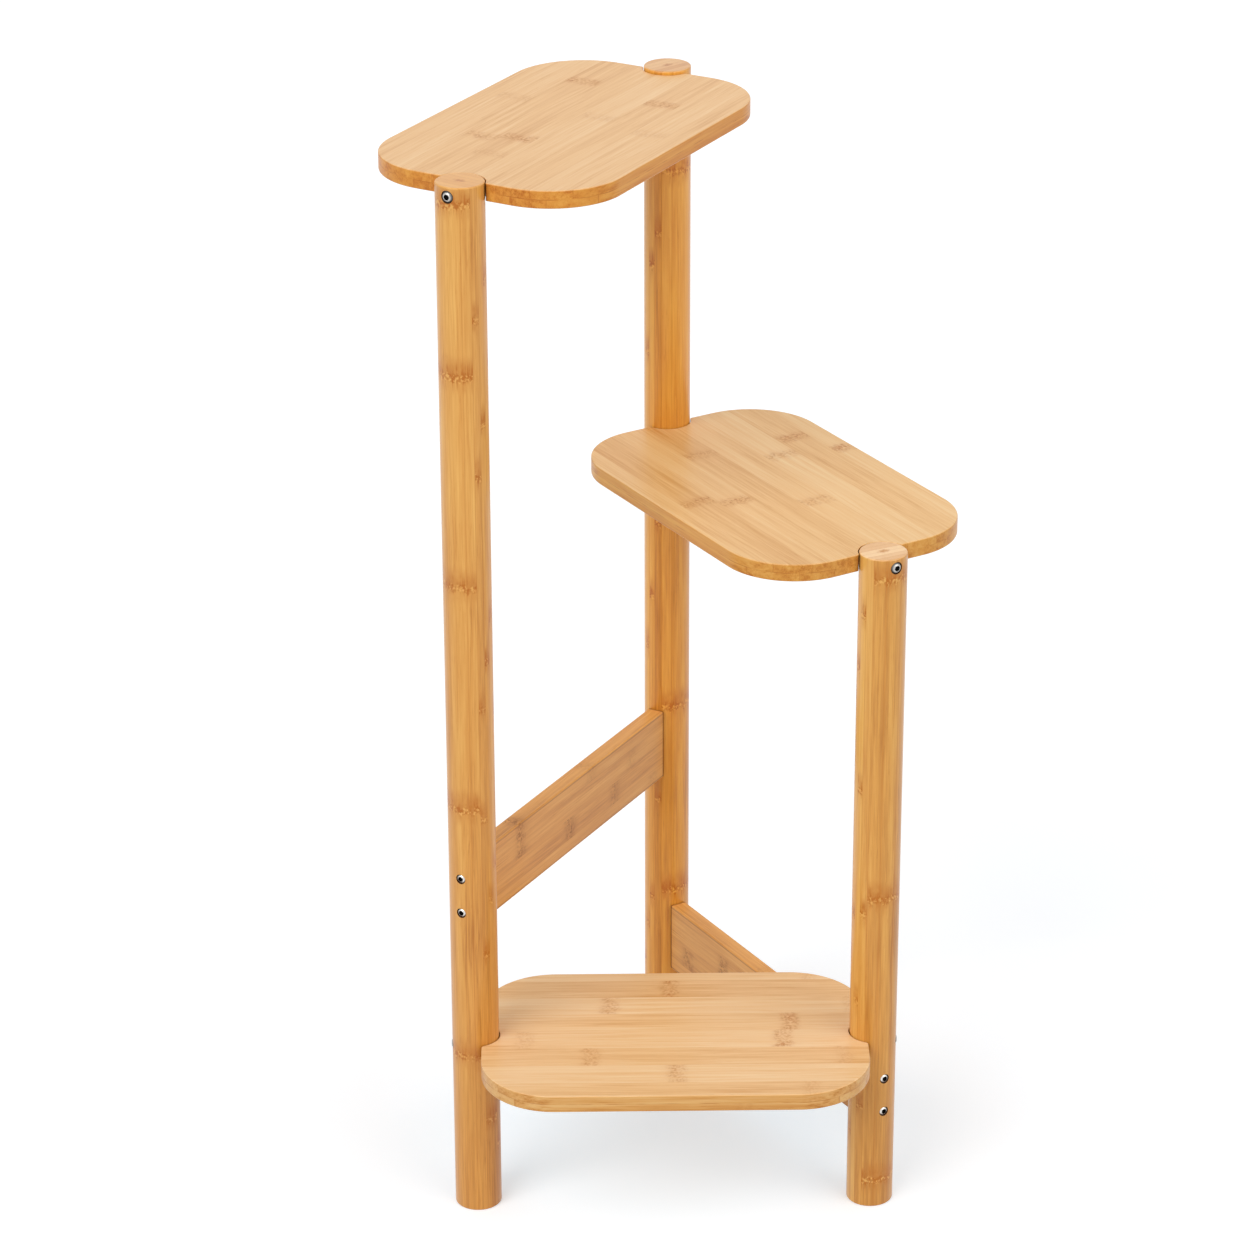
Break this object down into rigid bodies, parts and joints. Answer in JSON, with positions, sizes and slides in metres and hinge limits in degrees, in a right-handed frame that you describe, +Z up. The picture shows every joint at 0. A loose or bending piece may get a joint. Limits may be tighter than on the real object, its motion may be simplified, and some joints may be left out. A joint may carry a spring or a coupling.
{
  "type": "plant stand",
  "caption": "Tiered bamboo plant stand: round posts on a triangle carry rounded shelves at stepped heights, with flat rails and bolted joints.",
  "frame": {"origin": "at floor level, under the middle of the stand's outline", "axes": "+X to the right, +Y to the rear where the third post stands, +Z up"},
  "size_m": [0.4742, 0.4276, 0.933],
  "materials": {
    "post_bamboo": "satin lacquered laminated bamboo",
    "shelf_bamboo": "satin lacquered laminated bamboo",
    "rail_bamboo": "satin lacquered laminated bamboo",
    "bolt_steel": "bright zinc plate",
    "insert_brass": "plain turned brass"
  },
  "bodies": {
    "root": {"post_front_left": "post_bamboo", "post_rear": "post_bamboo", "post_front_right": "post_bamboo", "shelf_top": "shelf_bamboo", "shelf_middle": "shelf_bamboo", "shelf_bottom": "shelf_bamboo", "rail_upper": "rail_bamboo", "rail_lower": "rail_bamboo", "bolt_top_front": "bolt_steel", "bolt_top_rear": "bolt_steel", "bolt_middle_rear": "bolt_steel", "bolt_middle_front": "bolt_steel", "bolt_bottom_left": "bolt_steel", "bolt_bottom_right": "bolt_steel", "rail_bolts_upper_front": "bolt_steel", "rail_bolts_upper_rear": "bolt_steel", "rail_bolts_lower_rear": "bolt_steel", "rail_bolts_lower_front": "bolt_steel", "insert_top_front": "insert_brass", "insert_top_rear": "insert_brass", "insert_middle_rear": "insert_brass", "insert_middle_front": "insert_brass", "insert_bottom_left": "insert_brass", "insert_bottom_right": "insert_brass", "rail_inserts_upper_front": "insert_brass", "rail_inserts_upper_rear": "insert_brass", "rail_inserts_lower_rear": "insert_brass", "rail_inserts_lower_front": "insert_brass"}
  },
  "joints": []
}
